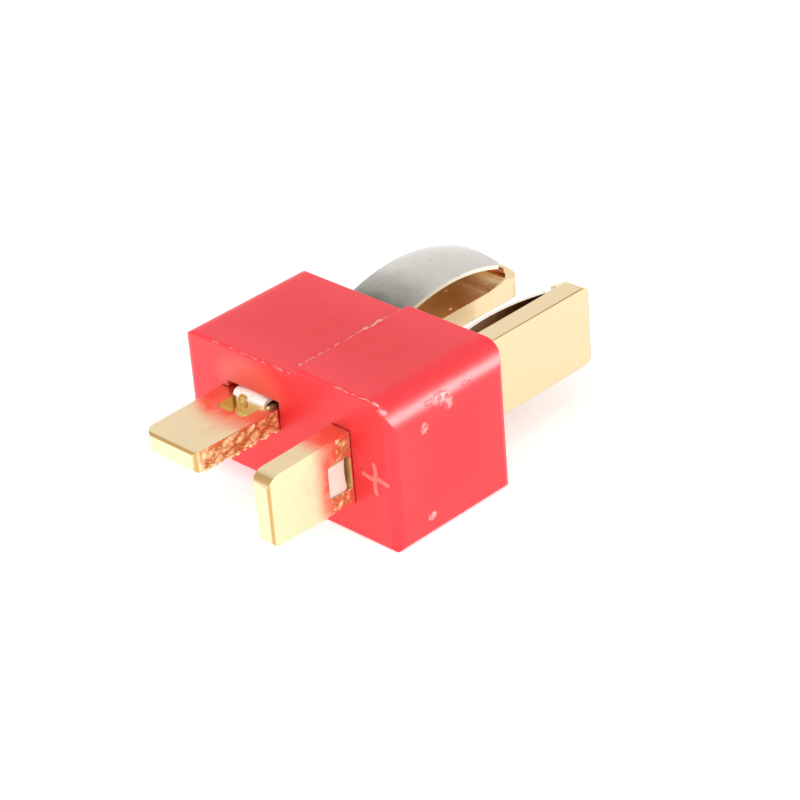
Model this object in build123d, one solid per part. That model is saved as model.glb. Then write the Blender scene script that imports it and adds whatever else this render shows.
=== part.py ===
from build123d import *
import math
import os

# All sizes are in millimetres. +Y is the mating direction and +Z is up.
# The origin is the middle of the housing's mating face.

# Housing: two blocks side by side, moulded in one
housing_width = 15.8
housing_depth = 8.8
positive_block_width = 7.0
positive_block_height = 8.85
step_top = 0.4               # the negative block's top lies this far below the positive block's
step_bottom = 1.0            # and its underside lies this far above
positive_round = 1.7         # outer top edge of the positive block
negative_round = 1.1         # outer top edge of the negative block
positive_upright_round = 0.6
negative_upright_round = 0.8  # upright outer corners of the two blocks
underside_round = 0.35       # long edges along the underside
step_round = 0.15            # top edge of the step between the blocks
end_round = 0.2              # rims of the mating face and the solder face

# Contacts: two bars of the same form
stock_thickness = 1.25
tab_end_width = 4.1
tab_root_width = 4.35
tab_length = 5.95            # solder tab beyond the solder face
tab_shift = 0.12             # the tab lies this far off the blade's middle
tab_corner = 0.45            # plan corner of the tab's end on the side of the shift
tab_far_corner = 0.85        # and on the other side
tab_end_round = 0.3          # broad edges of the tab's end
blade_width = 4.95
blade_length = 10.3          # blade beyond the mating face
blade_corner = 0.8           # plan corners of the tip
shoulder_depth = 3.2         # from the mating face down to the shoulder
bar_edge_round = 0.1

# Coined lip across the blade's tip, in front of the spring
lip_height = 0.75
lip_length = 1.1             # from the lip's inner wall to the tip
lip_crest = 0.3              # the level part of its top
lip_nose_drop = 0.2          # its slope ends this far below the blade's face, at the tip
lip_nose_round = 0.3
lip_foot_round = 0.3         # hollow at the foot of its inner wall
lip_end_slope = 0.34         # each end of it leans in by this much
ramp_height = 0.22           # the blade climbs by this much before the wall
ramp_length = 1.6
ramp_round = 1.5             # where the climb begins

# Leaf springs: two strips of the same form, bowed across their width
strip_thickness = 0.22
strip_width = 4.26
strip_bow_radius = 6.6
tail_width = 2.35
tongue_width = 1.85          # the end of the hook, narrower than the tail
free_end_corner = 0.4        # plan corners of the free end
widening_depth = 0.5         # from the mating face to where the strip has its full width
widening_length = 0.9
crown_height = 2.25          # top of the arch above the blade, at mid-width
crown_reach = 4.6            # top of the arch from the mating face
arch_radius = 11.9           # outer side of the arch, at mid-width
landing_radius = 1.8         # hollow bend between the tail and the arch
tail_rise = 2.2              # degrees that the tail climbs, so that it can rock
hook_radius = 0.35           # where the strip turns down into the hole
fold_radius = 0.45           # where it turns back, to lie in the hole
positive_rock = 1.5          # degrees by which the upright spring lies nearer to its blade

# Hole in the tab for the hook
hook_hole_length = 1.65
hook_hole_setback = 0.12     # from the solder face to the hole
hook_hole_corner = 0.3
hook_shift = 0.4             # the hole and the hook lie this far off the contact's middle

# Rooms for the springs inside the housing
tail_room_width = 4.0
tail_room_height = 0.45      # above the bar, at the solder face
mouth_room_height = 1.95     # above the bar, at the mating face

# Clearances
bar_gap = 0.05               # around each bar in its passage
strip_side_gap = 0.3         # beside the springs at full width, as they lie a little askew
tongue_side_gap = 0.15
tongue_back_gap = 0.06       # from the hook to the wall of its hole
fold_gap = 0.08              # from the fold's end to the far wall of the hole
fold_depth_gap = 0.02        # from the fold up to the level of the tab's other face
tongue_shoulder_gap = 0.04   # from the tail's shoulders down to the tab
tail_gap = 0.12              # under the tail, at the hook
tip_gap = 0.12               # from the free end to the lip's wall

# Places of the contacts, from mid-width and from the positive block's mid-height
negative_x = -2.85
negative_z = 0.82
positive_x = 4.25
positive_z = 0.0

base_z = -positive_block_height / 2
split_x = housing_width / 2 - positive_block_width
bar_face = stock_thickness / 2
hole_start_y = -housing_depth - hook_hole_setback
lip_wall_y = blade_length - lip_length
free_end_y = lip_wall_y - tip_gap
skew = math.degrees(math.atan(hook_shift / (free_end_y - hole_start_y)))
strip_half = strip_thickness / 2
tail_bow = strip_bow_radius - math.sqrt(strip_bow_radius ** 2 - (tail_width / 2) ** 2)
beyond = 1.0                 # how far cutting shapes stick out

# The hook's bend, about which a spring rocks in its contact
hook_bend = hook_radius - strip_half
hook_pivot = Vector(
    0,
    hole_start_y - tongue_back_gap - strip_half + hook_bend,
    bar_face + tail_gap + strip_half - hook_bend * math.cos(math.radians(tail_rise)))


def rounded(corners):
    """Face inside a closed polygon of (x, y, radius) corners."""
    count = len(corners)
    points = [Vector(x, y) for x, y, radius in corners]
    edges = []
    arc_starts = []
    arc_ends = []
    for index, (x, y, radius) in enumerate(corners):
        to_last = (points[index - 1] - points[index]).normalized()
        to_next = (points[(index + 1) % count] - points[index]).normalized()
        half_angle = math.acos(to_last.dot(to_next)) / 2
        reach = radius / math.tan(half_angle)
        arc_starts.append(points[index] + to_last * reach)
        arc_ends.append(points[index] + to_next * reach)
        if radius > 0:
            middle = points[index] + (to_last + to_next).normalized() * radius * (1 / math.sin(half_angle) - 1)
            edges.append(ThreePointArc(arc_starts[index], middle, arc_ends[index]))
    for index in range(count):
        if (arc_starts[index] - arc_ends[index - 1]).length > 0.001:
            edges.append(Line(arc_ends[index - 1], arc_starts[index]))
    return make_face(edges)


def slab(face, plane, width):
    """Extrude a face that is drawn in a plane, half the width to each side of it."""
    return extrude(plane * face, amount=width / 2, both=True)


def block(profile, plan, bottom, top):
    """A block from its outline seen along the blades and from above, its end faces with rounded rims."""
    rims = rounded([
        (-housing_depth, bottom, end_round),
        (0, bottom, end_round),
        (0, top, end_round),
        (-housing_depth, top, end_round),
    ])
    body = slab(rounded(profile), Plane.XZ, 2 * housing_depth)
    body &= slab(rounded(plan), Plane.XY, 2 * positive_block_height)
    return body & slab(rims, Plane.YZ, 2 * housing_width)


def housing_body():
    """The two blocks, before the passages are cut. The negative one reaches into the positive one."""
    right = housing_width / 2
    buried = split_x + beyond
    top = positive_block_height / 2
    low_top = top - step_top
    high_base = base_z + step_bottom
    positive_profile = [
        (right, base_z, underside_round),
        (right, top, positive_round),
        (split_x, top, step_round),
        (split_x, base_z, underside_round),
    ]
    positive_plan = [
        (right, -housing_depth, positive_upright_round),
        (right, 0, positive_upright_round),
        (split_x, 0, end_round),
        (split_x, -housing_depth, end_round),
    ]
    negative_profile = [
        (buried, high_base, 0),
        (buried, low_top, 0),
        (-right, low_top, negative_round),
        (-right, high_base, underside_round),
    ]
    negative_plan = [
        (buried, -housing_depth, 0),
        (buried, 0, 0),
        (-right, 0, negative_upright_round),
        (-right, -housing_depth, negative_upright_round),
    ]
    positive_block = block(positive_profile, positive_plan, base_z, top)
    return positive_block + block(negative_profile, negative_plan, high_base, low_top)


def contact_bar(side):
    """One contact lying flat, its spring side up, its middle at the origin's height.

    The two contacts are mirror images. The tab and the hole for the hook are shifted towards
    +X or, where side is -1, towards -X.
    """
    tip_z = bar_face - lip_nose_drop
    crest_z = bar_face + lip_height
    outline = rounded([
        (-housing_depth - tab_length, -bar_face, tab_end_round),
        (blade_length, -bar_face, tab_end_round),
        (blade_length, tip_z, lip_nose_round),
        (lip_wall_y + lip_crest, crest_z, bar_edge_round),
        (lip_wall_y, crest_z, bar_edge_round),
        (lip_wall_y, bar_face + ramp_height, lip_foot_round),
        (lip_wall_y - ramp_length, bar_face, ramp_round),
        (-housing_depth - tab_length, bar_face, tab_end_round),
    ])
    near_root = tab_root_width / 2 + tab_shift
    far_root = tab_root_width / 2 - tab_shift
    near_end = tab_end_width / 2 + tab_shift
    far_end = tab_end_width / 2 - tab_shift
    plan = rounded([
        (side * near_end, -housing_depth - tab_length, tab_corner),
        (side * near_root, -housing_depth, 0),
        (side * near_root, -shoulder_depth, 0),
        (side * blade_width / 2, -shoulder_depth, bar_edge_round),
        (side * blade_width / 2, blade_length, blade_corner),
        (-side * blade_width / 2, blade_length, blade_corner),
        (-side * blade_width / 2, -shoulder_depth, bar_edge_round),
        (-side * far_root, -shoulder_depth, 0),
        (-side * far_root, -housing_depth, 0),
        (-side * far_end, -housing_depth - tab_length, tab_far_corner),
    ])
    front = rounded([
        (blade_width / 2, -bar_face, bar_edge_round),
        (blade_width / 2, bar_face, bar_edge_round),
        (blade_width / 2 - lip_end_slope, crest_z, 0),
        (-blade_width / 2 + lip_end_slope, crest_z, 0),
        (-blade_width / 2, bar_face, bar_edge_round),
        (-blade_width / 2, -bar_face, bar_edge_round),
    ])
    length = 2 * (housing_depth + tab_length + blade_length)
    bar = slab(outline, Plane.YZ, 2 * blade_width) & slab(plan, Plane.XY, length) & slab(front, Plane.XZ, length)
    hole_width = tongue_width + 2 * tongue_side_gap
    hole = RectangleRounded(hole_width, hook_hole_length, hook_hole_corner)
    hole_place = Pos(side * hook_shift, hole_start_y - hook_hole_length / 2)
    return bar - slab(hole_place * hole, Plane.XY, 2 * stock_thickness)


def spring_path():
    """Centre line of a leaf spring at the height of the tail's edges, in two stretches.

    The tail is a straight line that climbs by tail_rise. Before it the strip lies folded in
    the hole, turns up through it and bends over into the tail. The arch is a circle through
    the crown. The landing bend is a circle on the other side of the strip that touches both.
    """
    rise = math.radians(tail_rise)
    along = Vector(0, math.cos(rise), math.sin(rise))
    across = Vector(0, -math.sin(rise), math.cos(rise))
    hook_top = hook_pivot - Vector(0, hook_bend, 0)
    tail_start = hook_pivot + across * hook_bend
    arch = arch_radius - strip_half - tail_bow
    landing = landing_radius + strip_half
    arch_centre = Vector(0, crown_reach, bar_face + crown_height - arch_radius)
    offset = tail_start + across * landing - arch_centre
    run = -offset.dot(along) - math.sqrt(offset.dot(along) ** 2 - offset.dot(offset) + (arch + landing) ** 2)
    tail_end = tail_start + along * run
    landing_centre = tail_end + across * landing
    meeting = arch_centre + (landing_centre - arch_centre) * (arch / (arch + landing))
    end_y = free_end_y + 2 * strip_thickness
    end_z = arch_centre.Z + math.sqrt(arch ** 2 - (end_y - crown_reach) ** 2)
    fold_bend = fold_radius - strip_half
    fold_z = -bar_face + fold_depth_gap + strip_half
    fold_start = Vector(0, hole_start_y - hook_hole_length + fold_gap, fold_z)
    fold_end = Vector(0, hook_top.Y - fold_bend, fold_z)
    leg_start = Vector(0, hook_top.Y, fold_z + fold_bend)
    tail = Wire([
        Line(fold_start, fold_end),
        TangentArc(fold_end, leg_start, tangent=(0, 1, 0)),
        Line(leg_start, hook_top),
        TangentArc(hook_top, tail_start, tangent=(0, 0, 1)),
        Line(tail_start, tail_end),
    ])
    leaf = Wire([
        TangentArc(tail_end, meeting, tangent=along),
        ThreePointArc(meeting, arch_centre + Vector(0, 0, arch), Vector(0, end_y, end_z)),
    ])
    return tail, leaf


def strip_section(width):
    """Section of the bowed strip, with the edges of the tail's width at the height 0."""
    drop = tail_bow - strip_bow_radius
    half_angle = math.asin(width / 2 / strip_bow_radius)
    outer = strip_bow_radius + strip_half
    inner = strip_bow_radius - strip_half
    rim = Vector(math.sin(half_angle), math.cos(half_angle))
    mirror = Vector(-rim.X, rim.Y)
    centre = Vector(0, drop)
    return make_face([
        ThreePointArc(centre + mirror * outer, centre + Vector(0, outer), centre + rim * outer),
        Line(centre + rim * outer, centre + rim * inner),
        ThreePointArc(centre + rim * inner, centre + Vector(0, inner), centre + mirror * inner),
        Line(centre + mirror * inner, centre + mirror * outer),
    ])


def strip_along(path, width):
    """Sweep the strip's section, its outer side up, from the start of a path."""
    start = Plane(path @ 0, x_dir=(-1, 0, 0), z_dir=path % 0)
    return sweep(start * strip_section(width), path)


def leaf_spring(side):
    """One spring above a contact that lies flat, skewed about its free end to reach the shifted hole."""
    tail_path, leaf_path = spring_path()
    narrow = tail_width / 2
    broad = strip_width / 2
    back_y = -housing_depth
    plan = rounded([
        (narrow, back_y, 0),
        (narrow, -widening_depth - widening_length, 0),
        (broad, -widening_depth, 0),
        (broad, free_end_y, free_end_corner),
        (-broad, free_end_y, free_end_corner),
        (-broad, -widening_depth, 0),
        (-narrow, -widening_depth - widening_length, 0),
        (-narrow, back_y, 0),
    ])
    leaf = strip_along(leaf_path, strip_width + strip_thickness) & slab(plan, Plane.XY, 4 * arch_radius)
    tail = strip_along(tail_path, tail_width + strip_thickness) & Box(tail_width, 4 * housing_depth, 4 * arch_radius)
    spring = leaf + tail
    shoulder_top = bar_face + tongue_shoulder_gap
    for edge_side in (-1, 1):
        x = edge_side * (tongue_width + tail_width) / 2
        notch = Box(tail_width, 2 * (hook_hole_length + beyond), 2 * stock_thickness)
        spring -= Pos(x, hole_start_y, shoulder_top - stock_thickness) * notch
    free_end = Pos(0, free_end_y, 0)
    return free_end * Rot(0, 0, side * skew) * free_end.inverse() * spring


def passage(side):
    """What is cut from the housing for one contact and its spring, the contact lying flat."""
    bottom = -bar_face - bar_gap
    back = -housing_depth
    room_slope = (mouth_room_height - tail_room_height) / housing_depth
    bar_room = [(back - beyond, bottom, 0), (beyond, bottom, 0), (beyond, bar_face + bar_gap, 0),
                (back - beyond, bar_face + bar_gap, 0)]
    spring_room = [(back - beyond, 0, 0), (beyond, 0, 0),
                   (beyond, bar_face + mouth_room_height + beyond * room_slope, 0),
                   (back - beyond, bar_face + tail_room_height - beyond * room_slope, 0)]
    shoulder_y = -shoulder_depth - bar_gap
    mouth = Pos(0, shoulder_y + housing_depth, 0) * Box(3 * blade_width, 2 * housing_depth, 3 * blade_width)
    narrow = Pos(side * tab_shift, 0, 0) * slab(rounded(bar_room), Plane.YZ, tab_root_width + 2 * bar_gap)
    narrow += Pos(side * hook_shift, 0, 0) * slab(rounded(spring_room), Plane.YZ, tail_room_width)
    broad = slab(rounded(bar_room), Plane.YZ, blade_width + 2 * bar_gap)
    broad += slab(rounded(spring_room), Plane.YZ, strip_width + 2 * strip_side_gap)
    return narrow + (broad & mouth)


negative_place = Pos(negative_x, 0, negative_z)
positive_place = Pos(positive_x, 0, positive_z) * Rot(0, -90, 0)

rock = Pos(hook_pivot) * Rot(-positive_rock, 0, 0) * Pos(-hook_pivot)
pieces = {
    "housing": housing_body() - negative_place * passage(1) - positive_place * passage(-1),
    "negative_contact": negative_place * contact_bar(1),
    "positive_contact": positive_place * contact_bar(-1),
    "negative_spring": negative_place * leaf_spring(1),
    "positive_spring": positive_place * rock * leaf_spring(-1),
}

os.makedirs("parts", exist_ok=True)
for name, piece in pieces.items():
    export_step(piece, f"parts/{name}.step")
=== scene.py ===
import math

import bpy
import numpy as np
from mathutils import Matrix, Vector


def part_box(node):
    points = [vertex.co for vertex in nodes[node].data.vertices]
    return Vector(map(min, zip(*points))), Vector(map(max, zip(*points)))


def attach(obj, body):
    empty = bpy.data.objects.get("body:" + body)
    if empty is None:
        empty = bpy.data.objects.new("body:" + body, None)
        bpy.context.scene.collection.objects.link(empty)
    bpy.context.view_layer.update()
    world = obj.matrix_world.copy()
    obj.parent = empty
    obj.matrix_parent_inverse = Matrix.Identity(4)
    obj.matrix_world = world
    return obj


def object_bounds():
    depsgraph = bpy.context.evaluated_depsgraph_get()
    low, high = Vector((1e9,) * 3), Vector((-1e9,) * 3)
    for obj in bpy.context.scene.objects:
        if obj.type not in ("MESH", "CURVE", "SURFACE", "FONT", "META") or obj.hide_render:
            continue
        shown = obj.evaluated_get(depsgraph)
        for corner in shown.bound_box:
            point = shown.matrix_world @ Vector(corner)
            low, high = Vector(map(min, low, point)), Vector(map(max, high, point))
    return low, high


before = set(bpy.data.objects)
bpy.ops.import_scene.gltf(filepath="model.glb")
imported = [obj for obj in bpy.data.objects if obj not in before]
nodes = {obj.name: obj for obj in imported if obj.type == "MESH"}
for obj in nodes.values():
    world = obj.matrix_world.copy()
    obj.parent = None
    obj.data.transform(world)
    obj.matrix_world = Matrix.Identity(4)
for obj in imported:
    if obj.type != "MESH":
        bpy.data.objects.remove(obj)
scene = bpy.context.scene
mm = 0.001


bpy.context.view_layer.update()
print("loaded", len(nodes), "nodes")


# Shader helpers

# Linear red, green, blue and alpha from an sRGB hex colour
def linear(hexColour):
    values = [int(hexColour[i:i + 2], 16) / 255 for i in (1, 3, 5)]
    values = [v / 12.92 if v <= 0.04045 else ((v + 0.055) / 1.055) ** 2.4 for v in values]
    return (*values, 1.0)


# One node with its settings; inputs, by name or number, are constants or links
def addNode(tree, kind, settings=None, links=None):
    node = tree.nodes.new("ShaderNode" + kind)
    for name, value in (settings or {}).items():
        setattr(node, name, value)
    for name, value in (links or {}).items():
        if isinstance(value, bpy.types.NodeSocket):
            tree.links.new(value, node.inputs[name])
        else:
            node.inputs[name].default_value = value
    return node


def newMaterial(name):
    material = bpy.data.materials.new(name)
    material.use_nodes = True
    material.node_tree.nodes.clear()
    return material, material.node_tree


def calculate(tree, operation, first, second):
    return addNode(tree, "Math", {"operation": operation}, {0: first, 1: second}).outputs[0]


def largest(tree, values):
    result = values[0]
    for value in values[1:]:
        result = calculate(tree, "MAXIMUM", result, value)
    return result


def smallest(tree, values):
    result = values[0]
    for value in values[1:]:
        result = calculate(tree, "MINIMUM", result, value)
    return result


# A node that works on vectors: its output Vector or, for a length or a dot product, Value
def vectorMath(tree, operation, inputs, output="Vector"):
    links = dict(enumerate(inputs))
    return addNode(tree, "VectorMath", {"operation": operation}, links).outputs[output]


def objectPlace(tree):
    return addNode(tree, "TexCoord").outputs["Object"]


def alongAxis(tree, vector, axis):
    return addNode(tree, "SeparateXYZ", None, {0: vector}).outputs[axis]


# The attribute that addSheets gives each new piece: how far a point stands out, from 0 to 1
def riseAttribute(tree):
    return addNode(tree, "Attribute", {"attribute_name": "rise"}).outputs["Fac"]


# A value smoothed from the range low to high into another range
def remap(tree, value, low, high, lowTo=0.0, highTo=1.0):
    settings = {"interpolation_type": "SMOOTHSTEP"}
    links = {"Value": value, "From Min": low, "From Max": high, "To Min": lowTo, "To Max": highTo}
    return addNode(tree, "MapRange", settings, links).outputs[0]


def mixColour(tree, factor, first, second):
    return addNode(tree, "MixRGB", None, {"Fac": factor, "Color1": first, "Color2": second}).outputs[0]


# Noise with a real grain size
def noise(tree, place, sizeMm, detail):
    links = {"Vector": place, "Scale": 1 / (sizeMm * mm), "Detail": detail}
    return addNode(tree, "TexNoise", None, links).outputs[0]


# 1 in the middle of an ellipsoid, falling smoothly to 0 at its surface
def spot(tree, place, centreMm, sizeMm):
    fullTo = 0.45
    middle = [c * mm for c in centreMm]
    size = [s * mm for s in sizeMm]
    shifted = vectorMath(tree, "SUBTRACT", (place, middle))
    scaled = vectorMath(tree, "DIVIDE", (shifted, size))
    distance = vectorMath(tree, "LENGTH", (scaled,), "Value")
    return remap(tree, distance, fullTo, 1.0, 1.0, 0.0)


# The strongest of several spots, each a centre and half sizes in mm
def spots(tree, place, centresAndSizes):
    return largest(tree, [spot(tree, place, centre, size) for centre, size in centresAndSizes])


def bump(tree, height, strength, depthMm, normal=None):
    links = {"Height": height, "Strength": strength, "Distance": depthMm * mm}
    if normal is not None:
        links["Normal"] = normal
    return addNode(tree, "Bump", None, links).outputs[0]


def finishMaterial(tree, inputs):
    shader = addNode(tree, "BsdfPrincipled", None, inputs)
    addNode(tree, "OutputMaterial", None, {"Surface": shader.outputs[0]})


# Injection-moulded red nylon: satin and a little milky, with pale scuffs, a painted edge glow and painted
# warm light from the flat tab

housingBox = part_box("housing")
nylonLook = {
    # painted edge glow: paler within coreMm of the box's edges than in the core
    "edge": "#F22F3A",
    "core": "#EA212B",
    "coreMm": (0.1, 3.6),
    # painted warm light thrown by the gold flat tab onto the nylon in front of it
    "paintedTabLight": "#FF7E60",
    "paintedTabLightPlace": ((-2.7, -8.9, 2.3), (3.4, 0.8, 1.9)),
    "paintedTabLightStrength": 0.4,
    "roughness": 0.36,
    "shine": 0.48,
    "grain": {"sizeMm": 0.1, "detail": 3.0, "strength": 0.05, "depthMm": 0.05},
    "ripple": {"sizeMm": 1.6, "detail": 1.0, "strength": 0.1, "depthMm": 0.3},
    "glow": 0.4,
    "glowMm": 0.7,
    "glowRadius": (1.0, 0.25, 0.2),
    "scuffed": "#FFB4B2",
    "scuffStrength": 0.9,
    "scuffBreak": {"sizeMm": 0.3, "detail": 3.0, "from": 0.34, "to": 0.6},
    "scuffBump": {"strength": 0.6, "depthMm": 0.08},
    "scuffs": [
        ((7.55, -4.85, 3.15), (0.6, 0.95, 0.5)),
        ((7.6, -4.4, 2.75), (0.6, 0.5, 0.5)),
        ((7.8, -6.3, 2.1), (0.5, 0.35, 0.45)),
        ((7.45, -5.7, 3.35), (0.6, 0.6, 0.18)),
        ((7.5, -3.0, 3.3), (0.6, 0.5, 0.14)),
        ((7.2, -8.6, 3.95), (0.35, 0.3, 0.3)),
        ((7.9, -6.2, -3.3), (0.3, 0.4, 0.3)),
    ],
}


# Distance in mm from a point on the housing to the nearest edge of its box: the smallest, over the
# pairs of axes, of the larger of the two distances to the box's sides
def edgeDistance(tree, place):
    low, high = [[c / mm for c in corner] for corner in housingBox]
    sides = []
    for axis in range(3):
        inMm = calculate(tree, "MULTIPLY", alongAxis(tree, place, axis), 1 / mm)
        fromLow = calculate(tree, "SUBTRACT", inMm, low[axis])
        fromHigh = calculate(tree, "SUBTRACT", high[axis], inMm)
        sides.append(smallest(tree, (fromLow, fromHigh)))
    return smallest(tree, [largest(tree, (sides[i], sides[(i + 1) % 3])) for i in range(3)])


def noiseBump(tree, place, look, normal=None):
    height = noise(tree, place, look["sizeMm"], look["detail"])
    return bump(tree, height, look["strength"], look["depthMm"], normal)


def nylonMaterial():
    material, tree = newMaterial("moulded red nylon")
    place = objectPlace(tree)
    # Painted edge glow: paler near the box's edges
    core = remap(tree, edgeDistance(tree, place), *nylonLook["coreMm"])
    body = mixColour(tree, core, linear(nylonLook["edge"]), linear(nylonLook["core"]))
    # Painted warm light from the gold flat tab
    paintedTabLight = calculate(tree, "MULTIPLY", spot(tree, place, *nylonLook["paintedTabLightPlace"]), nylonLook["paintedTabLightStrength"])
    body = mixColour(tree, paintedTabLight, body, linear(nylonLook["paintedTabLight"]))
    broken = nylonLook["scuffBreak"]
    grains = noise(tree, place, broken["sizeMm"], broken["detail"])
    patchy = remap(tree, grains, broken["from"], broken["to"])
    scuffed = calculate(tree, "MULTIPLY", spots(tree, place, nylonLook["scuffs"]), patchy)
    fade = calculate(tree, "MULTIPLY", scuffed, nylonLook["scuffStrength"])
    colour = mixColour(tree, fade, body, linear(nylonLook["scuffed"]))
    soft = noiseBump(tree, place, nylonLook["ripple"])
    fine = noiseBump(tree, place, nylonLook["grain"], soft)
    rub = nylonLook["scuffBump"]
    rubbed = bump(tree, scuffed, rub["strength"], rub["depthMm"], fine)
    finishMaterial(tree, {
        "Base Color": colour, "Roughness": nylonLook["roughness"], "Normal": rubbed,
        "Specular IOR Level": nylonLook["shine"], "Subsurface Weight": nylonLook["glow"],
        "Subsurface Scale": nylonLook["glowMm"] * mm, "Subsurface Radius": nylonLook["glowRadius"]})
    return material


# Thin raised nylon, paler than the body the more it stands out

thinNylonLook = {
    "raised": "#FFA09A",
    "roughness": 0.3,
    "glow": 0.4,
    "glowMm": 0.3,
    "glowRadius": (1.0, 0.5, 0.45),
}


def thinNylonMaterial():
    material, tree = newMaterial("thin nylon at moulded edges")
    raised = linear(thinNylonLook["raised"])
    colour = mixColour(tree, riseAttribute(tree), linear(nylonLook["edge"]), raised)
    finishMaterial(tree, {
        "Base Color": colour, "Roughness": thinNylonLook["roughness"],
        "Subsurface Weight": thinNylonLook["glow"], "Subsurface Scale": thinNylonLook["glowMm"] * mm,
        "Subsurface Radius": thinNylonLook["glowRadius"]})
    return material


# Brass pressings with a thin, slightly cloudy gold plating, with painted dark reflections on the rounded
# edges (where the normal lies between the axes) and painted shade, with rougher metal, where the springs
# cover it

goldLook = {
    "colour": "#F6DFB4",
    # painted dark reflection on the rounded edges
    "edge": "#CDA56C",
    "edgeFrom": 0.97,
    "edgeFull": 0.8,
    # painted shade on the blades under the springs, with rougher metal there
    "paintedShadeUnderSprings": "#D6A04A",
    "roughnessUnderSprings": 0.3,
    "roughness": 0.22,
    "smoother": 0.05,
    "rougher": 0.07,
    "cloud": {"sizeMm": 0.9, "detail": 2.0, "from": 0.3, "to": 0.7, "bump": 0.012, "depthMm": 0.1},
    "underSprings": [
        ((-2.85, 4.4, 1.6), (3.6, 6.8, 0.36)),
        ((3.5, 4.4, 0.0), (0.36, 6.8, 3.6)),
    ],
}


def goldMaterial():
    material, tree = newMaterial("gold-plated brass pressing")
    place = objectPlace(tree)
    look = goldLook["cloud"]
    cloud = noise(tree, place, look["sizeMm"], look["detail"])
    smoothest = goldLook["roughness"] - goldLook["smoother"]
    roughest = goldLook["roughness"] + goldLook["rougher"]
    roughness = remap(tree, cloud, look["from"], look["to"], smoothest, roughest)
    # Painted dark reflection on the rounded edges, where the normal lies between the axes
    normal = vectorMath(tree, "ABSOLUTE", (addNode(tree, "TexCoord").outputs["Normal"],))
    straight = largest(tree, [alongAxis(tree, normal, axis) for axis in range(3)])
    edge = remap(tree, straight, goldLook["edgeFull"], goldLook["edgeFrom"], 1.0, 0.0)
    colour = mixColour(tree, edge, linear(goldLook["colour"]), linear(goldLook["edge"]))
    # Painted shade under the springs: browner colour, and higher roughness
    paintedShadeMask = spots(tree, place, goldLook["underSprings"])
    colour = mixColour(tree, paintedShadeMask, colour, linear(goldLook["paintedShadeUnderSprings"]))
    dull = calculate(tree, "MULTIPLY", paintedShadeMask, goldLook["roughnessUnderSprings"])
    finishMaterial(tree, {
        "Base Color": colour, "Metallic": 1.0,
        "Normal": bump(tree, cloud, look["bump"], look["depthMm"]),
        "Roughness": calculate(tree, "ADD", roughness, dull)})
    return material


# The torn side of a pressing: painted highlight on the crests, painted shade in the hollows

tornLook = {
    # painted highlight on the crests, painted shade in the hollows
    "paintedCrestHighlight": "#FFE2AC",
    "hollow": "#C4763A",
    "crestRise": (0.1, 0.75),
    "roughness": 0.36,
    "metal": 0.35,
}


def tornMaterial():
    material, tree = newMaterial("torn brass, painted highlight and shade")
    # Painted highlight on the crests and painted shade in the hollows, by how far the metal stands out
    paintedCrestHighlight = remap(tree, riseAttribute(tree), *tornLook["crestRise"])
    colour = mixColour(tree, paintedCrestHighlight, linear(tornLook["hollow"]), linear(tornLook["paintedCrestHighlight"]))
    finishMaterial(tree, {
        "Base Color": colour, "Metallic": tornLook["metal"], "Roughness": tornLook["roughness"]})
    return material


# Nickel-plated spring steel: pale outside, with a painted highlight on the side edges and painted shade on
# the underside and towards the root

springLook = {
    "outside": "#D9D6CE",
    "outsideFacing": (0.25, 0.4),
    "insideFacing": (-0.4, -0.25),
    # painted highlight on the strip's side edges
    "edge": "#FFF8E8",
    # painted shade towards the root, where the spring leaves the housing
    "paintedRootShade": "#5F574F",
    "rootMm": (0.3, 5.4),
    "rootWander": {"sizeMm": 1.1, "detail": 3.0, "reachMm": 1.5},
    "hookMm": -8.3,
    "hookFadeMm": 0.2,
    "hookMetal": 0.25,
    "foldFadeMm": 0.1,
    "roughness": 0.3,
    "speck": {"sizeMm": 0.2, "detail": 1.0, "from": 0.7, "to": 0.78, "bump": 0.6, "depthMm": 0.02},
    "speckColour": "#6E6860",
    "speckStrength": 0.4,
}
flatSpring = {
    "outward": (0, 0, 1),
    # painted shade on the arch's underside, tinted gold as a painted reflection of the blade
    "inside": "#DDA654",
    # painted light: the fold is drawn bright pale gold to outshine the shade in the hole
    "fold": "#FFE9A0",
    "bend": "#FFFCF2",
    "bendMm": 1.46,
}
uprightSpring = {
    "outward": (-1, 0, 0),
    # painted shade on the arch's underside
    "inside": "#84633F",
    "fold": "#FFFDF0",
    "bend": "#FFFDF0",
    "bendMm": 0,
}


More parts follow.
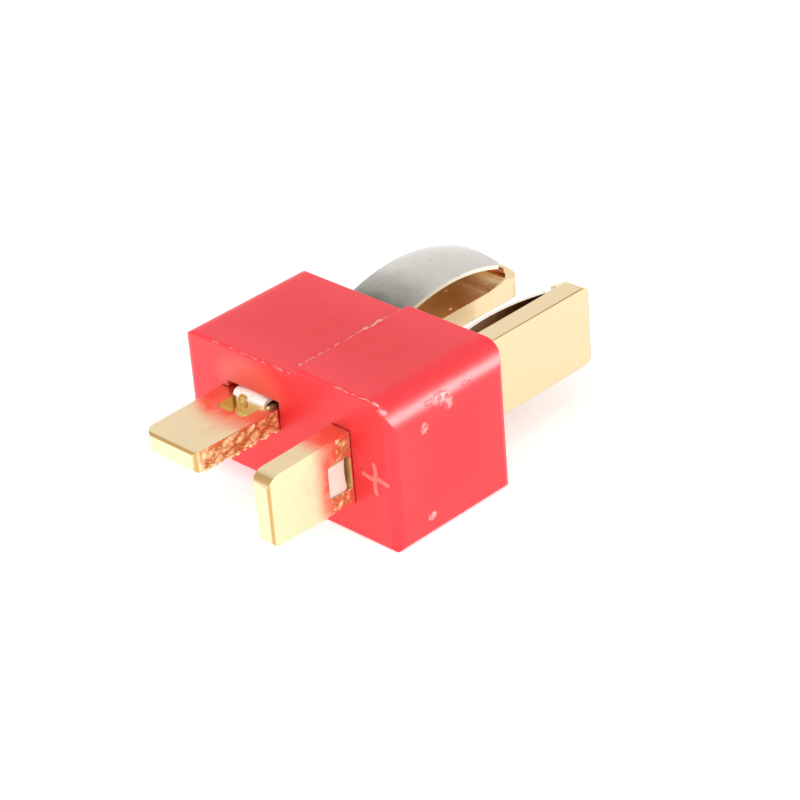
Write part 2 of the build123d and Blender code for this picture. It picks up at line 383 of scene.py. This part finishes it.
# Outward is the way the arch bulges; past bendMm along it, the hook has the bend's colour, and
# before it the fold's
def springMaterial(name, spring):
    material, tree = newMaterial(name)
    place = objectPlace(tree)
    outward = spring["outward"]
    along = alongAxis(tree, place, "Y")

    normal = addNode(tree, "NewGeometry").outputs["True Normal"]
    facing = vectorMath(tree, "DOT_PRODUCT", (normal, outward), "Value")
    # Painted shade towards the root, with a border shaken by noise
    look = springLook["rootWander"]
    shaken = noise(tree, place, look["sizeMm"], look["detail"])
    wander = calculate(tree, "MULTIPLY", shaken, look["reachMm"] * mm)
    rootStart, rootEnd = [y * mm for y in springLook["rootMm"]]
    unshaded = remap(tree, calculate(tree, "ADD", along, wander), rootStart, rootEnd)
    outside = mixColour(tree, unshaded, linear(springLook["paintedRootShade"]), linear(springLook["outside"]))
    # Painted highlight on the side edges, where the normal lies square to the outward way
    outer = remap(tree, facing, *springLook["outsideFacing"])
    leaf = mixColour(tree, outer, linear(springLook["edge"]), outside)
    # Painted shade on the underside, where the normal faces against the outward way
    inner = remap(tree, facing, *springLook["insideFacing"])
    leaf = mixColour(tree, inner, linear(spring["inside"]), leaf)

    level = vectorMath(tree, "DOT_PRODUCT", (place, outward), "Value")
    foldFade = springLook["foldFadeMm"]
    bend = remap(tree, level, (spring["bendMm"] - foldFade) * mm, (spring["bendMm"] + foldFade) * mm)
    # On the flat spring, the fold colour is painted light against the shade in its hole
    hook = mixColour(tree, bend, linear(spring["fold"]), linear(spring["bend"]))
    hookEnd = springLook["hookMm"] * mm
    hookFrom = hookEnd - springLook["hookFadeMm"] * mm
    colour = mixColour(tree, remap(tree, along, hookFrom, hookEnd), hook, leaf)
    metal = remap(tree, along, hookFrom, hookEnd, springLook["hookMetal"], 1.0)

    look = springLook["speck"]
    speck = remap(tree, noise(tree, place, look["sizeMm"], look["detail"]), look["from"], look["to"])
    mark = calculate(tree, "MULTIPLY", speck, springLook["speckStrength"])
    finishMaterial(tree, {
        "Base Color": mixColour(tree, mark, colour, linear(springLook["speckColour"])),
        "Metallic": metal, "Roughness": springLook["roughness"],
        "Normal": bump(tree, speck, look["bump"], look["depthMm"])})
    return material


# The golden boss on the flat spring's hook, with a painted highlight: paler where it stands out

springTipLook = {
    "low": "#C98A2C",
    "high": "#FFE9A6",
    "highRise": (0.2, 0.9),
    "metal": 0.5,
}


def springTipMaterial():
    material, tree = newMaterial("spring tip boss, painted highlight")
    # Painted highlight, paler the more the boss stands out
    high = remap(tree, riseAttribute(tree), *springTipLook["highRise"])
    colour = mixColour(tree, high, linear(springTipLook["low"]), linear(springTipLook["high"]))
    finishMaterial(tree, {
        "Base Color": colour, "Metallic": springTipLook["metal"], "Roughness": springLook["roughness"]})
    return material


thinNylon = thinNylonMaterial()
springTip = springTipMaterial()
gold = goldMaterial()
torn = tornMaterial()
finishes = {
    "housing": nylonMaterial(),
    "negative_contact": gold,
    "positive_contact": gold,
    "negative_spring": springMaterial("nickel-plated spring steel, flat spring", flatSpring),
    "positive_spring": springMaterial("nickel-plated spring steel, upright spring", uprightSpring),
}
for name, material in finishes.items():
    nodes[name].data.materials.clear()
    nodes[name].data.materials.append(material)
print("materials on", len(finishes), "nodes")


# Softened edges of the pressings

edgeRounding = {"weldMm": 0.002, "widthMm": 0.1, "segments": 3, "angle": 35}


def roundEdges(obj):
    weld = obj.modifiers.new("weld", "WELD")
    weld.merge_threshold = edgeRounding["weldMm"] * mm
    bevel = obj.modifiers.new("rounded edges", "BEVEL")
    bevel.width = edgeRounding["widthMm"] * mm
    bevel.segments = edgeRounding["segments"]
    bevel.limit_method = "ANGLE"
    bevel.angle_limit = math.radians(edgeRounding["angle"])
    bevel.harden_normals = True


for name in ("negative_contact", "positive_contact"):
    roundEdges(nodes[name])
print("edges rounded")


# New pieces

# One smooth mesh of equal grids, count x rows x columns x 3 in mm, with its rise from 0 to 1
def addSheets(name, points, rise, material, body="plug"):
    count, rows, columns = points.shape[:3]
    index = np.arange(count * rows * columns).reshape(count, rows, columns)
    corners = [index[:, :-1, :-1], index[:, :-1, 1:], index[:, 1:, 1:], index[:, 1:, :-1]]
    quads = np.stack(corners, axis=-1).reshape(-1, 4)
    mesh = bpy.data.meshes.new(name)
    mesh.from_pydata((points.reshape(-1, 3) * mm).tolist(), [], quads.tolist())
    mesh.polygons.foreach_set("use_smooth", np.ones(len(quads), dtype=bool))
    values = np.broadcast_to(rise, points.shape[:3]).reshape(-1)
    attribute = mesh.attributes.new("rise", "FLOAT", "POINT")
    attribute.data.foreach_set("value", values.astype(np.float32))
    mesh.materials.append(material)
    obj = bpy.data.objects.new(name, mesh)
    scene.collection.objects.link(obj)
    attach(obj, body)


# Small ellipsoids: centre + half sizes x (cos tilt cos turn, cos tilt sin turn, sin tilt)
def addBlobs(name, centres, halfSizes, rise, material):
    meridians = np.linspace(0, 2 * math.pi, 13)
    parallels = np.linspace(-math.pi / 2, math.pi / 2, 7)
    turn, tilt = np.meshgrid(meridians, parallels)
    ball = np.stack([np.cos(tilt) * np.cos(turn), np.cos(tilt) * np.sin(turn), np.sin(tilt)], axis=-1)
    points = centres[:, None, None, :] + halfSizes[:, None, None, :] * ball[None]
    addSheets(name, points, rise, material)


# Blobs strewn along an edge, longer along it than across; strayMm shakes them to each side
def addEdgeBlobs(name, line, material):
    rng = np.random.default_rng(line["seed"])
    start, end = np.array(line["startMm"]), np.array(line["endMm"])
    count = line["count"]
    stray = line["strayMm"]
    along = np.sort(rng.uniform(0, 1, count))[:, None]
    centres = start + (end - start) * along + rng.uniform(-stray, stray, (count, 3))
    thick = rng.uniform(*line["thickMm"], count)
    long = rng.uniform(*line["longMm"], count)
    direction = np.abs(end - start) / np.linalg.norm(end - start)
    halfSizes = thick[:, None] * np.ones(3) + long[:, None] * direction
    addBlobs(name, centres, halfSizes, line["rise"], material)


# Lumps from 0 to 1 on a slanted, shaken lattice: weight x (1 - distance^2) of the strongest lump,
# where the distance to a lump's centre is counted in 0.75 pitches along and across
def lumps(rng, u, v, pitchU, pitchV, slant):
    cellU = (u + slant * v) / pitchU
    cellV = v / pitchV
    latticeSize = 96
    reach = 0.75
    shakeU = rng.uniform(-0.5, 0.5, (latticeSize, latticeSize))
    shakeV = rng.uniform(-0.5, 0.5, (latticeSize, latticeSize))
    weight = rng.uniform(0.0, 1.0, (latticeSize, latticeSize))
    best = np.zeros_like(u)
    for stepU in (-1, 0, 1):
        for stepV in (-1, 0, 1):
            i = np.floor(cellU).astype(int) + stepU
            j = np.floor(cellV).astype(int) + stepV
            pick = (i % latticeSize, j % latticeSize)
            awayU = (cellU - i - 0.5 - shakeU[pick]) / reach
            awayV = (cellV - j - 0.5 - shakeV[pick]) / reach
            best = np.maximum(best, weight[pick] * np.clip(1 - awayU ** 2 - awayV ** 2, 0, 1))
    return best


# Beads of flash along the moulded edges

flashLines = {
    "flash_step": {
        "seed": 11, "startMm": (0.98, -8.5, 4.41), "endMm": (0.98, -0.3, 4.41), "count": 44,
        "longMm": (0.02, 0.14), "thickMm": (0.02, 0.05), "strayMm": 0.03, "rise": 0.8,
    },
    "flash_step_marks": {
        "seed": 3, "startMm": (1.0, -3.6, 4.43), "endMm": (1.0, -1.9, 4.43), "count": 9,
        "longMm": (0.03, 0.16), "thickMm": (0.05, 0.09), "strayMm": 0.06, "rise": 1.0,
    },
    "flash_negative_front": {
        "seed": 5, "startMm": (-5.4, -8.72, 3.97), "endMm": (0.6, -8.72, 3.97), "count": 30,
        "longMm": (0.03, 0.2), "thickMm": (0.02, 0.04), "strayMm": 0.03, "rise": 0.6,
    },
    "flash_positive_front": {
        "seed": 8, "startMm": (3.6, -8.72, 4.37), "endMm": (6.5, -8.72, 4.37), "count": 22,
        "longMm": (0.03, 0.2), "thickMm": (0.02, 0.04), "strayMm": 0.03, "rise": 0.7,
    },
    "flash_corner": {
        "seed": 2, "startMm": (6.75, -8.66, 4.3), "endMm": (7.0, -8.66, 4.28), "count": 3,
        "longMm": (0.05, 0.1), "thickMm": (0.07, 0.1), "strayMm": 0.03, "rise": 1.0,
    },
}
for name, line in flashLines.items():
    addEdgeBlobs(name, line, thinNylon)


# Torn metal along the flat tab's side and above and below the upright tab's hole. Each patch starts
# at its corner and runs along and down; its lumps stand out by depthMm, pitchMm apart

tornPatches = {
    "torn_side_flat_tab": {
        "seed": 21, "cornerMm": (-0.68, -14.25, 1.42), "alongMm": (0.12, 5.42, 0), "downMm": (0, 0, -1.22),
        "out": (1, 0, 0), "depthMm": 0.13, "pitchMm": (0.5, 0.42), "slant": 0.7, "fadeMm": 0.12,
    },
    "torn_above_upright_hole": {
        "seed": 31, "cornerMm": (4.875, -9.9, 2.0), "alongMm": (0, 1.05, 0), "downMm": (0, 0, -1.3),
        "out": (1, 0, 0), "depthMm": 0.07, "pitchMm": (0.26, 0.3), "slant": 0.4, "fadeMm": 0.15,
    },
    "torn_below_upright_hole": {
        "seed": 32, "cornerMm": (4.875, -10.5, -1.3), "alongMm": (0, 1.4, 0), "downMm": (0, 0, -0.9),
        "out": (1, 0, 0), "depthMm": 0.07, "pitchMm": (0.26, 0.3), "slant": 0.4, "fadeMm": 0.15,
    },
}
tornGrain = {
    "stepMm": 0.025,
    "underMm": 0.012,
    "finePitch": 0.4,       # as a share of the coarse lumps' pitch
    "coarse": 0.7,
    "fine": 0.3,
    "leastStand": 0.1,
    "raggedDepth": 1.2,     # in widths of the border's fade
    "raggedPitch": 3,       # in the same widths
    "borderStand": 0.2,
}


# Corner + along x s + down x t + out x stand, where the stand is the height of coarse and fine lumps
# times a fade that sinks the patch's ragged border into the metal
def addTornPatch(name, patch):
    rng = np.random.default_rng(patch["seed"])
    vectors = [patch[key] for key in ("cornerMm", "alongMm", "downMm", "out")]
    corner, along, down, out = [np.array(v, dtype=float) for v in vectors]
    pitchU, pitchV = patch["pitchMm"]
    slant = patch["slant"]
    fade = patch["fadeMm"]
    length = np.linalg.norm(along)
    width = np.linalg.norm(down)
    across = np.linspace(0, 1, int(length / tornGrain["stepMm"]))
    downwards = np.linspace(0, 1, int(width / tornGrain["stepMm"]))
    s, t = np.meshgrid(across, downwards)
    u = s * length
    v = t * width
    inside = np.minimum(np.minimum(u, length - u), np.minimum(v, width - v))
    coarse = lumps(rng, u, v, pitchU, pitchV, slant)
    fine = lumps(rng, u, v, tornGrain["finePitch"] * pitchU, tornGrain["finePitch"] * pitchV, -slant)
    rise = tornGrain["coarse"] * coarse + tornGrain["fine"] * fine
    raggedPitch = tornGrain["raggedPitch"] * fade
    ragged = inside - tornGrain["raggedDepth"] * fade * lumps(rng, u, v, raggedPitch, raggedPitch, 0)
    border = np.clip(ragged / fade + tornGrain["borderStand"], 0, 1)
    stand = patch["depthMm"] * (tornGrain["leastStand"] + rise) * border - tornGrain["underMm"]
    points = corner + along * s[..., None] + down * t[..., None] + out * stand[..., None]
    addSheets(name, points[None], rise[None], torn)


for name, patch in tornPatches.items():
    addTornPatch(name, patch)


# Burrs along the lower edge of the flat tab's torn side

flatTabBurrs = {
    "seed": 6, "startMm": (-0.63, -14.1, 0.2), "endMm": (-0.56, -9.0, 0.2), "count": 22,
    "longMm": (0.02, 0.1), "thickMm": (0.05, 0.11), "strayMm": 0.04, "rise": 0.7,
}
addEdgeBlobs("burrs_flat_tab", flatTabBurrs, torn)


# Beads of metal beside the flat tab's hole

flatHoleBeads = {
    "centresMm": [(-1.32, -9.2, 1.46), (-1.08, -9.02, 1.45), (-1.36, -9.02, 1.47)],
    "halfSizesMm": [(0.12, 0.14, 0.09), (0.1, 0.12, 0.08), (0.09, 0.07, 0.08)],
    "rise": 1.0,
}


def addBeads(name, beads):
    centres = np.array(beads["centresMm"])
    halfSizes = np.array(beads["halfSizesMm"])
    addBlobs(name, centres, halfSizes, beads["rise"], torn)


addBeads("beads_flat_hole", flatHoleBeads)


# A pressed boss with a raised rim where the flat spring turns down into its hole

bossLook = {
    "seenFromMm": (-2.74, -10.7, 2.6),
    "lookingTo": (0, 0.74, -0.67),
    "reachMm": 0.46,
    "stepsRound": 33,
    "stepsOut": 15,
    "heightMm": 0.14,
    "rimShare": 0.55,
    "dimpleMm": 0.13,
    "sinkMm": 0.06,
}


# The boss on the metal that a ray finds: height x (cosine hump of the distance from its centre + a
# narrower hump in the middle), sinking towards its rim
def addBoss():
    start = Vector(bossLook["seenFromMm"]) * mm
    hit = nodes["negative_spring"].ray_cast(start, Vector(bossLook["lookingTo"]))
    place, normal = hit[1:3]
    reach = bossLook["reachMm"]
    around = np.linspace(0, 2 * math.pi, bossLook["stepsRound"])
    turn, away = np.meshgrid(around, np.linspace(0, reach, bossLook["stepsOut"]))
    rim = 0.5 * (1 - np.cos(2 * math.pi * away / reach))
    middle = np.exp(-(away / bossLook["dimpleMm"]) ** 2)
    rise = np.clip(bossLook["rimShare"] * rim + middle, 0, 1)
    stand = bossLook["heightMm"] * rise - bossLook["sinkMm"] * (away / reach) ** 2
    out = np.array(normal)
    side = np.array((1.0, 0.0, 0.0))
    up = np.cross(out, side)
    centre = np.array(place) / mm
    points = (centre + (away * np.cos(turn))[..., None] * side
              + (away * np.sin(turn))[..., None] * up + stand[..., None] * out)
    print("boss at", centre.round(2), "facing", out.round(2))
    addSheets("boss_flat_spring", points[None], rise[None], springTip, "negative_leaf")


addBoss()


# Bright specks on the flat blade under its spring

flatBladeSpecks = {
    "centresMm": [(-1.17, 8.15, 1.5), (-2.42, 6.22, 1.46), (-0.77, 4.8, 1.46)],
    "halfSizesMm": [(0.1, 0.1, 0.07), (0.08, 0.08, 0.06), (0.1, 0.08, 0.07)],
    "rise": 1.0,
}
addBeads("specks_flat_blade", flatBladeSpecks)


# Raised plus sign beside the upright tab

plusMark = {
    "centreMm": (6.52, -0.27),
    "armMm": 0.85,
    "marginMm": 0.28,
    "samples": 120,
    "strokeMm": 0.16,
    "heightMm": 0.08,
    "sinkMm": 0.02,
    "levelWave": (0.05, 5),
    "uprightWave": (0.06, 4),
    "unevenSeed": 4,
    "unevenPitchMm": 0.45,
    "unevenShiftMm": 5,     # place in the lattice of lumps
    "unevenLeast": 0.55,
    "unevenMore": 0.6,
    "rise": 0.5,
    "faceMm": -8.8,
    "flatToMm": 7.3,
    "cornerMm": 0.6,
}


# Height x exp(-(distance to the nearer wavy stroke / half stroke)^4) x slow lumps, on a sheet that
# follows the face and then the round of the block's upright corner
def addPlusMark():
    centreX, centreZ = plusMark["centreMm"]
    arm = plusMark["armMm"]
    reach = arm + plusMark["marginMm"]
    line = np.linspace(-reach, reach, plusMark["samples"])
    u, v = np.meshgrid(line, line)
    levelBend, levelRate = plusMark["levelWave"]
    uprightBend, uprightRate = plusMark["uprightWave"]
    level = np.hypot(np.maximum(np.abs(u) - arm, 0), v - levelBend * np.sin(levelRate * u))
    upright = np.hypot(u - uprightBend * np.sin(uprightRate * v), np.maximum(np.abs(v) - arm, 0))
    rise = np.exp(-(np.minimum(level, upright) / plusMark["strokeMm"]) ** 4)
    rng = np.random.default_rng(plusMark["unevenSeed"])
    pitch = plusMark["unevenPitchMm"]
    shift = plusMark["unevenShiftMm"]
    slow = lumps(rng, u + shift, v + shift, pitch, pitch, 0)
    uneven = plusMark["unevenLeast"] + plusMark["unevenMore"] * slow
    height = plusMark["heightMm"] * rise * uneven - plusMark["sinkMm"]
    past = np.maximum(centreX + u - plusMark["flatToMm"], 0)
    face = plusMark["faceMm"] + plusMark["cornerMm"] - np.sqrt(plusMark["cornerMm"] ** 2 - past ** 2)
    points = np.stack([centreX + u, face - height, centreZ + v], axis=-1)
    addSheets("plus_mark", points[None], plusMark["rise"] * rise[None], thinNylon)


addPlusMark()
print("new pieces done")


# Studio

studio = {
    "horizon": 0.99,
    "zenith": 0.84,
    "skyHeights": (0.1, 0.9),
    "windowSide": 0.42,
    "windowDirection": (0.66, -0.66, 0.1),
    "windowSpread": (-0.2, 0.9),
    "backdrop": 1.3,
    "paper": "#FFFFFF",
    "paperRoughness": 0.9,
    "floorHalf": 1.5,
    "floorGlowNear": 0.45,
    "floorGlowFar": 0.16,
    "floorFadeMm": (-6, 12),
    "cardMm": (360, 260, 90),
    "cardSizeMm": (300, 200),
    "cardWatts": 3.2,
}


# White paper that glows a little, so that it stays white round the object
def addFloor():
    material, tree = newMaterial("white paper sweep")
    behind = alongAxis(tree, objectPlace(tree), "Y")
    fadeStart, fadeEnd = [y * mm for y in studio["floorFadeMm"]]
    glow = remap(tree, behind, fadeStart, fadeEnd, studio["floorGlowNear"], studio["floorGlowFar"])
    paper = linear(studio["paper"])
    finishMaterial(tree, {
        "Base Color": paper, "Roughness": studio["paperRoughness"], "Specular IOR Level": 0.0,
        "Emission Color": paper, "Emission Strength": glow})
    half = studio["floorHalf"]
    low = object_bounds()[0][2]
    mesh = bpy.data.meshes.new("studioFloor")
    corners = [(-half, -half, low), (half, -half, low), (half, half, low), (-half, half, low)]
    mesh.from_pydata(corners, [], [(0, 1, 2, 3)])
    mesh.materials.append(material)
    floor = bpy.data.objects.new("studioFloor", mesh)
    scene.collection.objects.link(floor)


# Dimmer overhead, brighter on the camera's side, and plain white where the camera sees it
def addWorld():
    world = bpy.data.worlds.new("studio")
    scene.world = world
    world.use_nodes = True
    tree = world.node_tree
    tree.nodes.clear()
    direction = addNode(tree, "TexCoord").outputs["Generated"]
    height = alongAxis(tree, direction, "Z")
    sky = remap(tree, height, *studio["skyHeights"], studio["horizon"], studio["zenith"])
    window = vectorMath(tree, "DOT_PRODUCT", (direction, studio["windowDirection"]), "Value")
    glow = remap(tree, window, *studio["windowSpread"], 0.0, studio["windowSide"])
    light = calculate(tree, "ADD", sky, glow)
    seen = addNode(tree, "LightPath").outputs["Is Camera Ray"]
    links = {0: seen, 2: light, 3: studio["backdrop"]}
    strength = addNode(tree, "Mix", {"data_type": "FLOAT"}, links).outputs[0]
    links = {"Color": linear(studio["paper"]), "Strength": strength}
    background = addNode(tree, "Background", None, links)
    addNode(tree, "OutputWorld", None, {"Surface": background.outputs[0]})


# A low soft box at the back right that shows in the nylon's reflections only
def addCard():
    light = bpy.data.lights.new("softBox", "AREA")
    light.shape = "RECTANGLE"
    light.size, light.size_y = [side * mm for side in studio["cardSizeMm"]]
    light.energy = studio["cardWatts"]
    obj = bpy.data.objects.new("softBox", light)
    obj.location = [c * mm for c in studio["cardMm"]]
    obj.rotation_euler = (-Vector(obj.location)).to_track_quat("-Z", "Y").to_euler()
    obj.visible_diffuse = False
    lit = bpy.data.collections.new("litBySoftBox")
    lit.objects.link(nodes["housing"])
    obj.light_linking.receiver_collection = lit
    scene.collection.objects.link(obj)


addFloor()
addWorld()
addCard()
print("studio done")


# Camera, worked out from the photo's edges

photoCamera = {
    "placeMm": (99.946, -95.457, 77.947),
    "azimuth": 46.426,
    "elevation": 30.013,
    "roll": -4.737,
    "lens": 129.62,
    "sensor": 36,
    "nearest": 0.01,
    "farthest": 10,
}


def makeCamera():
    data = bpy.data.cameras.new("photoCamera")
    data.lens = photoCamera["lens"]
    data.sensor_width = photoCamera["sensor"]
    data.clip_start = photoCamera["nearest"]
    data.clip_end = photoCamera["farthest"]
    camera = bpy.data.objects.new("photoCamera", data)
    scene.collection.objects.link(camera)
    a = math.radians(photoCamera["azimuth"])
    e = math.radians(photoCamera["elevation"])
    r = math.radians(photoCamera["roll"])
    back = Vector((math.sin(a) * math.cos(e), -math.cos(a) * math.cos(e), math.sin(e)))
    level = Vector((math.cos(a), math.sin(a), 0))
    right = level * math.cos(r) + back.cross(level) * math.sin(r)
    turn = Matrix((right, back.cross(right), back)).transposed()
    camera.matrix_world = Matrix.Translation([c * mm for c in photoCamera["placeMm"]]) @ turn.to_4x4()
    scene.camera = camera


makeCamera()
scene.view_settings.view_transform = "Standard"
print("camera set")
